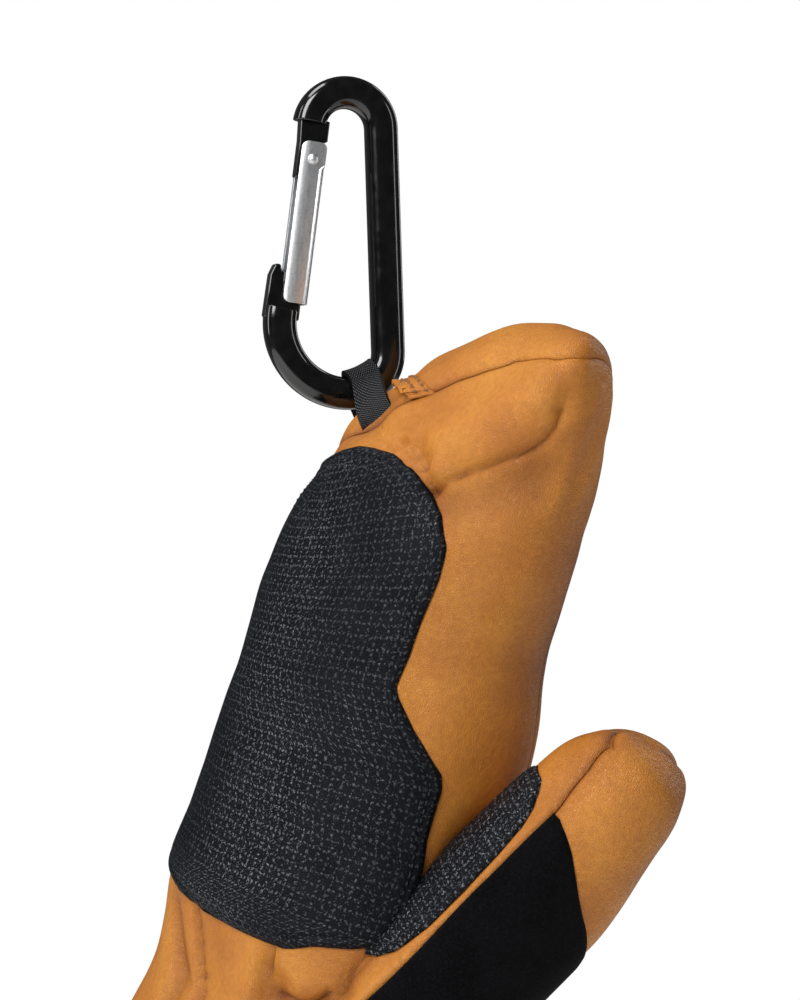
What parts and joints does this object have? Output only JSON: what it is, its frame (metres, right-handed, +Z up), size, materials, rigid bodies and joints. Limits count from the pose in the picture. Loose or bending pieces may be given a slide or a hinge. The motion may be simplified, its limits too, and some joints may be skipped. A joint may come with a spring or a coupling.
{
  "type": "snowboard mitten on a carabiner",
  "caption": "Right-hand tan leather snowboard mitten with black grip and suede patches, hung by its fingertip loop from a black carabiner with a sprung gate.",
  "frame": {"origin": "the inner top of the carabiner's arch, where it hangs", "axes": "+Z up, the carabiner's ring lies in the XZ plane, its gate on the -X side, the mitten's palm towards -Y and -X"},
  "size_m": [0.1463, 0.1493, 0.3183],
  "materials": {
    "tan_leather": "smooth grain leather, slightly waxed",
    "grip_leather": "embossed black grip leather",
    "suede": "matte black suede",
    "webbing": "plain woven black webbing",
    "black_metal": "gloss black anodised aluminium",
    "bright_metal": "bright pressed aluminium with fine scratches"
  },
  "bodies": {
    "root": {"back_panel": "tan_leather", "palm_panel": "tan_leather", "thumb_outer_panel": "tan_leather", "thumb_inner_panel": "tan_leather", "palm_patch": "grip_leather", "thumb_grip_patch": "grip_leather", "thumb_wipe_patch": "suede", "hang_loop": "webbing", "carabiner_body": "black_metal", "gate_rivet": "bright_metal"},
    "gate": {"carabiner_gate": "bright_metal"}
  },
  "joints": [
    {"name": "gate_hinge", "type": "hinge", "parent": "root", "child": "gate", "pos_m": [-0.0092, 0, -0.0135], "axis": [0, -1, 0], "range_deg": [0, 25], "stiffness_Nm_per_rad": 0.02, "springref_deg": -11.46}
  ]
}
